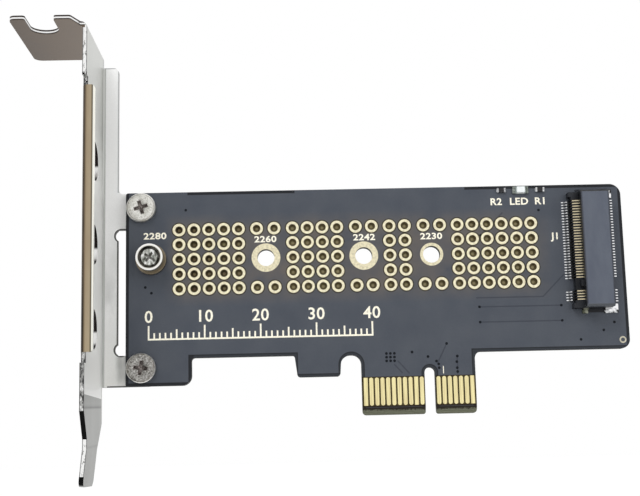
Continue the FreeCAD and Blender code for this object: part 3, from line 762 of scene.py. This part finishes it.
def bracket_finish():
    steel = Shader("bracket_steel", Metallic=1.0)
    x, y, z = steel.place()
    face_x, face_y, face_z = steel.facing()
    cloud = steel.noise(0.22, 4.0, (1, 1, 0.4))
    grain = steel.noise(6.0, 3.0)
    cut = abs(face_y).below(0.6)
    flange = flange_colour_and_shade(steel, x, z, cloud, cut)
    colour = steel.blend(y.above(flange_front), plate_painted_reflection(steel, y, z), flange)
    colour = steel.blend(0.06 + (grain - 0.5) * 0.2, colour, (0.30, 0.30, 0.29))
    low_or_plate = x.below(plate_inside).most(z.below(1.3))
    sheared = face_y.below(-0.55) * low_or_plate * z.below(tab_underside) * y.below(-12.0)
    colour = steel.blend(sheared, colour, sheared_edge_painted_glints(steel, x, z))
    in_vent = (1 - abs(face_x)).above(0.3) * y.within(-11.0, -3.0) * z.within(10, 52)
    colour = steel.blend(in_vent, colour, vent_painted_shading(steel, z))
    in_lip = y.below(-15.1) * z.within(10.9, 56.7)
    colour = steel.blend(in_lip, colour, lip_painted_reflection(steel, x, cloud))
    in_tab = z.above(66.95) * x.below(plate_middle)
    colour = steel.blend(in_tab, colour, tab_colour(steel, x, z, face_z, cloud))
    # Painted light: the plate's foot is painted near white; it and the flange's front are made mostly
    # non-metallic.
    matte_front = y.within(flange_front, flange_front + 0.12) * x.above(-58.1) * (1 - cut)
    foot = face_x.above(0.8) * x.above(-58.7) * y.below(flange_front) * z.above(4) * (1 - z.fade(36, 52))
    steel.feed("Base Color", steel.blend(foot * 0.75, colour, (0.98, 0.98, 0.96)))
    steel.feed("Metallic", 1 - matte_front * 0.92 - foot * 0.75)
    steel.feed("Roughness", 0.30 + cloud * 0.14 + grain * 0.05)
    steel.bump(grain * 0.4 + cloud, 0.010, 0.5)
    return steel


finish_node("bracket", bracket_finish())


# Bracket screws: zinc plated steel pan heads with a cross recess, driven into the bracket's ears.
# The head is grainy from the barrel plating; the lower one is duller. A thread runs to the shank's end.
def grained_metal(name, dark, light, roughness, scale, relief=0.01):
    """Plated metal with a cloudy grain between two colours."""
    metal = Shader(name, Metallic=1.0)
    grain = metal.noise(scale, 4.0, roughness=0.65)
    metal.feed("Base Color", metal.ramp(grain, (0.36, dark), (0.62, light)))
    metal.feed("Roughness", roughness + grain * 0.15)
    metal.bump(grain, relief, 0.6)
    return metal


screw_x, upper_screw, lower_screw = -51.3, 38.17, 9.17
between_screws = 24
upper_turn, lower_turn = 16, -8


def screw_finish():
    zinc = Shader("screw_zinc", Metallic=1.0)
    x, y, z = zinc.place()
    upper = z.above(between_screws)
    centre = upper * (upper_screw - lower_screw) + lower_screw
    radius = distance(x, z, (screw_x, centre))
    grain = zinc.noise(3.2, 4.0, roughness=0.75)
    pits = zinc.noise(6.0, 2.0)
    dull = zinc.ramp(grain, (0.36, (0.13, 0.12, 0.11)), (0.50, (0.34, 0.33, 0.31)),
                     (0.64, (0.66, 0.65, 0.62)))
    clean = zinc.ramp(grain, (0.34, (0.50, 0.49, 0.45)), (0.48, (0.76, 0.75, 0.70)),
                      (0.66, (0.93, 0.92, 0.88)))
    colour = zinc.blend(upper, dull, clean)
    colour = zinc.blend(pits.fade(0.60, 0.70) * 0.6, colour, (0.10, 0.09, 0.08))
    # A dark ring near the head's edge, then a painted highlight on the rim's outer face.
    rim = radius.fade(2.28, 2.36) * (1 - radius.fade(2.40, 2.48))
    colour = zinc.blend(rim * 0.6, colour, (0.22, 0.20, 0.17))
    colour = zinc.blend(radius.fade(2.50, 2.58) * y.below(-0.8), colour, (0.90, 0.89, 0.86))
    # The cross recess: two arms at right angles, each head turned its own way; it is painted dark as shade.
    across, up = x - screw_x, z - centre
    cosine, sine = (upper * (of(math.radians(upper_turn)) - of(math.radians(lower_turn)))
                    + of(math.radians(lower_turn)) for of in (math.cos, math.sin))
    first, second = abs(across * cosine + up * sine), abs(up * cosine - across * sine)
    cross = first.least(second).below(0.34) * first.most(second).below(1.28)
    recess = cross.most((y + 1.2).fade(0.03, 0.20)) * radius.below(1.45) * y.above(-1.5)
    shade = zinc.ramp(pits, (0.36, (0.060, 0.048, 0.044)), (0.62, (0.36, 0.32, 0.30)))
    colour = zinc.blend(recess, colour, shade)
    zinc.feed("Base Color", colour)
    zinc.feed("Roughness", 0.30 + grain * 0.25)
    zinc.bump(grain, 0.03, 0.8)
    return zinc


screw_zinc = screw_finish()
finish_node("bracket_screws", screw_zinc)
# The screws as driven: each is turned about its own axis until its recess lies under the painted cross.
# The CAD's recess is the cross mirrored, so it turns back by twice the angle.
driven = bmesh.new()
driven.from_mesh(nodes["bracket_screws"].data)
bmesh.ops.remove_doubles(driven, verts=driven.verts, dist=weld_distance)
for vertex in driven.verts:
    upper = vertex.co.z > between_screws * MM
    axis = Vector((screw_x * MM, 0, (upper_screw if upper else lower_screw) * MM))
    turn = Matrix.Rotation(math.radians(-2 * (upper_turn if upper else lower_turn)), 4, "Y")
    vertex.co = axis + turn @ (vertex.co - axis)
bmesh.ops.recalc_face_normals(driven, faces=driven.faces)
heads = bpy.data.meshes.new("driven_screws")
driven.to_mesh(heads)
driven.free()
heads.materials.append(screw_zinc.material)
heads.shade_smooth()
heads.set_sharp_from_angle(angle=math.radians(30))
driven_screws = bpy.data.objects.new("driven_screws", heads)
scene.collection.objects.link(driven_screws)
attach(driven_screws, "root")
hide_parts("bracket_screws")
thread = Pattern("screw_threads", radius=1.45, depth=0.16, length=0.72)
radius, depth, length = thread.given
path = thread.node("GeometryNodeCurveSpiral", {}, {"Resolution": 20, "Rotations": 1.6, "Height": length,
                                                   "Start Radius": radius, "End Radius": radius})
section = thread.node("GeometryNodeCurvePrimitiveCircle", {}, {"Resolution": 4,
                                                               "Radius": thread.math("MULTIPLY", depth, 0.5)})
ridge = thread.node("GeometryNodeCurveToMesh", {}, {"Curve": path, "Profile Curve": section,
                                                    "Fill Caps": True})
thread_start = 3.42
thread_zinc = grained_metal("thread_zinc", (0.25, 0.24, 0.22), (0.60, 0.58, 0.55), 0.35, 3.0)
thread.lay(ridge, [(screw_x * MM, thread_start * MM, centre * MM) for centre in (upper_screw, lower_screw)],
           thread_zinc, -90.0)


# Spacer: turned from bar, nickel plated, with a wide foot, a cup for the module's screw and a nut behind.
# The cup's rim has a painted highlight; the body keeps the tool's fine rings under a painted reflection of
# the board's tan and grey.
spacer_x, spacer_z = -49.5, hole_row
cup_radius, rim_radius, rim_y = 2.04, 2.12, -3.5


def spacer_finish():
    nickel = Shader("spacer_nickel", Metallic=1.0)
    x, y, z = nickel.place()
    radius = distance(x, z, (spacer_x, spacer_z))
    rings = nickel.noise(4.0, 2.0, (0.05, 1, 0.05))
    cloud = nickel.noise(0.7, 3.0)
    # Painted reflection: the body shows the board's tan and grey, paler towards the top.
    body = nickel.ramp(rings * 0.6 + cloud * 0.4, (0.34, (0.14, 0.12, 0.08)), (0.50, (0.42, 0.38, 0.27)),
                       (0.66, (0.66, 0.62, 0.48)))
    body = nickel.blend(y.fade(-2.2, -3.3), body, (0.70, 0.69, 0.62))
    # Painted shade darkens the foot and the cup; the cup's rim gets a painted highlight.
    foot = nickel.blend(cloud, (0.10, 0.08, 0.06), (0.34, 0.29, 0.21))
    colour = nickel.blend(y.above(-0.95), body, foot)
    inside = nickel.blend(cloud.fade(0.4, 0.6), (0.030, 0.028, 0.024), (0.16, 0.15, 0.13))
    colour = nickel.blend(radius.below(cup_radius) * y.above(rim_y - 0.04), colour, inside)
    colour = nickel.blend(y.below(rim_y) * radius.above(rim_radius), colour, (0.95, 0.94, 0.91))
    nickel.feed("Base Color", colour)
    nickel.feed("Roughness", 0.22 + cloud * 0.15)
    nickel.bump(rings, 0.012, 0.6)
    return nickel


def module_screw_finish():
    """Bright nickel with wavy painted reflections, dark and bright, and painted shade in its recess."""
    bright = Shader("module_screw_nickel", Metallic=1.0)
    x, y, z = bright.place()
    reflection_waves = bright.noise(0.9, 3.0, (1.6, 1, 0.7), 0.6)
    colour = bright.ramp(reflection_waves, (0.36, (0.04, 0.04, 0.035)), (0.46, (0.28, 0.29, 0.26)),
                         (0.53, (0.55, 0.56, 0.52)), (0.62, (0.97, 0.97, 0.96)))
    recess = (y - rim_y).fade(0.03, 0.25) * ((x - spacer_x) ** 2 + (z - spacer_z) ** 2).below(1.2) * 0.85
    bright.feed("Base Color", bright.blend(recess, colour, (0.075, 0.070, 0.060)))
    bright.feed("Roughness", 0.22 + reflection_waves * 0.2)
    bright.bump(reflection_waves, 0.03, 0.6)
    return bright


finish_node("standoff", spacer_finish())
finish_node("module_screw", module_screw_finish())
finish_node("standoff_nut", grained_metal("nut_nickel", (0.42, 0.41, 0.38), (0.78, 0.77, 0.73), 0.28, 1.4))


# Module socket: moulded black plastic with a smooth cover over the module's slot and an open comb in
# front, where each contact stands in its own groove.
socket_left, socket_right, socket_half = 27.95, 33.0, 10.55


def socket_finish():
    plastic = Shader("socket_plastic", Specular_IOR_Level=0.25)
    x, y, z = plastic.place()
    cloud = plastic.noise(0.5, 4.0, (1, 1, 0.35))
    grain = plastic.noise(5.0, 2.0)
    # Painted sheen: the cover's top is painted paler than the black below it, darker towards its edges.
    cover = plastic.ramp(cloud, (0.32, (0.088, 0.100, 0.130)), (0.68, (0.108, 0.122, 0.152)))
    lower_end, upper_end = hole_row - socket_half, hole_row + socket_half
    edge = (x - socket_left).least(socket_right - x).least(z - lower_end).least(upper_end - z)
    cover = plastic.blend(1 - edge.fade(0.10, 0.34), cover, (0.040, 0.044, 0.056))
    dark = plastic.ramp(cloud, (0.35, (0.008, 0.009, 0.011)), (0.65, (0.024, 0.026, 0.031)))
    colour = plastic.blend(y.below(-4.15), dark, cover)
    # Painted highlight along the cover's lower end.
    strip = z.below(lower_end + 0.45) * y.below(-2.2) * x.above(socket_left)
    colour = plastic.blend(strip * 0.7, colour, (0.10, 0.11, 0.125))
    plastic.feed("Base Color", colour)
    plastic.feed("Roughness", 0.34 + grain * 0.16)
    plastic.bump(grain + cloud * 0.6, 0.012, 0.5)
    return plastic


finish_node("socket_housing", socket_finish())


# Socket contacts: copper alloy springs at a pitch of 0.5 mm, gold where they meet the module and tinned
# where they are soldered. A row stands at each side; four places are left out of each for the key.
pitch = 0.5
above_key, key_gap = 29, 2.5
lower_row = [hole_row + 9.0 - i * pitch for i in range(above_key)]
lower_row += [lower_row[-1] - key_gap - i * pitch for i in range(4)]
upper_row = [hole_row + 9.25 - i * pitch for i in range(above_key)]
upper_row += [upper_row[-1] - key_gap - i * pitch for i in range(5)]


def contact_finish(name, offset, bands, low_from):
    """Contact metal banded along x; painted shade darkens the flanks, and what lies low beyond low_from."""
    contact = Shader(name, Metallic=1.0)
    x, y, z = contact.place()
    grain = contact.noise(3.0, 3.0)
    first, last = bands[0][0], bands[-1][0]
    stops = (((at - first) / (last - first), colour) for at, colour in bands)
    along = contact.ramp(x.fade(first, last), *stops)
    off_centre = abs((z - hole_row + offset).wrapped(pitch) - pitch / 2)
    along = contact.blend(x.above(low_from) * y.above(-1.3), along, (0.03, 0.03, 0.028))
    colour = contact.blend(off_centre.fade(0.080, 0.115), along, (0.035, 0.028, 0.018))
    contact.feed("Base Color", contact.blend(grain.fade(0.55, 0.75) * 0.4, colour, (0.12, 0.11, 0.08)))
    contact.feed("Roughness", 0.26 + grain * 0.2)
    contact.bump(grain, 0.008)
    return contact


tin, worn_gold = (0.90, 0.91, 0.93), (0.72, 0.63, 0.43)
# The dark bands are painted shade: beside each lower toe's solder, under the housing's front and deep in the
# mouth.
finish_node("socket_lower_contacts", contact_finish("lower_contact_metal", pitch / 2, (
    (25.1, tin), (25.55, (0.86, 0.87, 0.88)), (25.60, 0.10), (25.72, 0.12),
    (25.76, tin), (26.18, 0.74), (26.26, (0.30, 0.27, 0.20)), (26.50, (0.62, 0.54, 0.37)),
    (27.0, worn_gold), (28.6, (0.78, 0.69, 0.47)), (28.9, (0.30, 0.25, 0.15))), 26.2))
finish_node("socket_upper_contacts", contact_finish("upper_contact_metal", 0.0, (
    (28.9, worn_gold), (33.0, (0.50, 0.48, 0.42)), (34.05, (0.10, 0.10, 0.11)), (34.18, (0.92, 0.93, 0.95)),
    (34.5, (0.97, 0.98, 1.0))), 40.0))


# Solder: paste printed on the pads and melted in an oven. It has drawn up into a small bright bead at
# each contact's toe, and into taller ones at the ends of the small parts.
solder_tin = grained_metal("solder_tin", (0.60, 0.61, 0.63), (0.97, 0.97, 0.98), 0.16, 2.5, 0.02)


def solder(name, beads):
    """Low beads on the board: x, z and their size along x, along z and outwards, in mm."""
    bead = Pattern(name, radius=1.0)
    ball = bead.node("GeometryNodeMeshUVSphere", {}, {"Segments": 7, "Rings": 5, "Radius": bead.given[0]})
    bead.lay(ball, [on_front(x, z) for x, z, *_ in beads], solder_tin,
             stretch=[tuple(size) for _, _, *size in beads], smooth=True)


lower_toe, upper_toe = 25.24, 34.50
solder("contact_solder", [(lower_toe, z, 0.12, 0.10, 0.09) for z in lower_row]
       + [(upper_toe, z, 0.09, 0.09, 0.09) for z in upper_row])


# Hold-downs: tinned clips let into the socket's four corners and soldered to the board, so that the
# module's insertion doesn't load the contacts. The solder has run unevenly over them.
def hold_down_finish():
    clip = Shader("hold_down_tin", Metallic=1.0)
    x, _, z = clip.place()
    run = clip.noise(0.9, 3.0)
    bright = clip.ramp(run, (0.42, 0.03), (0.47, (0.50, 0.51, 0.52)),
                       (0.53, (0.97, 0.97, 0.98)))
    olive = clip.ramp(run, (0.40, (0.10, 0.105, 0.075)), (0.60, (0.42, 0.43, 0.35)))
    shaded = clip.ramp(run, (0.40, (0.025, 0.027, 0.032)), (0.65, (0.11, 0.115, 0.125)))
    upper = z.above(hole_row)
    front = x.below(30.0)
    colour = clip.blend(front, bright, olive)
    colour = clip.blend(upper * x.below(34.05).most(z.above(39.75)), colour, shaded)
    clip.feed("Base Color", colour)
    clip.feed("Roughness", 0.25 + run * 0.2)
    clip.bump(run, 0.03)
    return clip


finish_node("socket_hold_downs", hold_down_finish())


# Status lamp: a pale resin block on a glass-fibre base with plated ends, and a clear lens over the chip.
# It isn't lit; the lens is palest where the chip lies under it.
lamp_x = 17.8


def lamp_finish(name, middle, outer, roughness, reach):
    """Resin that is brightest over the chip in the middle of the lamp."""
    resin = Shader(name, Roughness=roughness)
    x, *_ = resin.place()
    mottle = resin.noise(2.5, 3.0)
    away = abs(x - lamp_x) + (mottle - 0.5) * 0.3
    resin.feed("Base Color", resin.blend(away.fade(reach * 0.7, reach), middle, outer))
    resin.bump(mottle, 0.01)
    return resin


finish_node("led_base", lamp_finish("lamp_base_resin", (0.42, 0.48, 0.45), (0.22, 0.26, 0.24), 0.5, 0.9))
finish_node("led_lens", lamp_finish("lamp_lens_resin", (0.84, 0.88, 0.88), (0.34, 0.39, 0.38), 0.15, 0.85))
lamp_ends = grained_metal("lamp_end_plating", (0.07, 0.085, 0.075), (0.34, 0.37, 0.34), 0.3, 2.5)
finish_node("led_terminals", lamp_ends)


# Chip resistors: a ceramic body with a glazed black face, and tinned ends standing in solder. The second
# one's ends are duller.
glaze = Shader("resistor_glaze", Roughness=0.25, Specular_IOR_Level=0.3)
cloud = glaze.noise(2.5, 3.0)
glaze.feed("Base Color", glaze.ramp(cloud, (0.35, (0.010, 0.010, 0.012)), (0.65, (0.028, 0.027, 0.030))))
glaze.bump(cloud, 0.01)
end_colours = {"r1": ((0.45, 0.46, 0.46), (0.92, 0.93, 0.93)), "r2": ((0.22, 0.22, 0.23), (0.62, 0.63, 0.64))}
for part, (dark, light) in end_colours.items():
    finish_node(f"resistor_{part}_body", glaze)
    finish_node(f"resistor_{part}_terminals", grained_metal(f"resistor_{part}_ends", dark, light, 0.25, 2.5))
resistor_ends = (13.5, 15.1, 20.6, 22.2)
solder("small_part_solder", [(x, 40.15, 0.07, 0.34, 0.12) for x in resistor_ends]
       + [(19.2, 40.0, 0.12, 0.35, 0.14)])
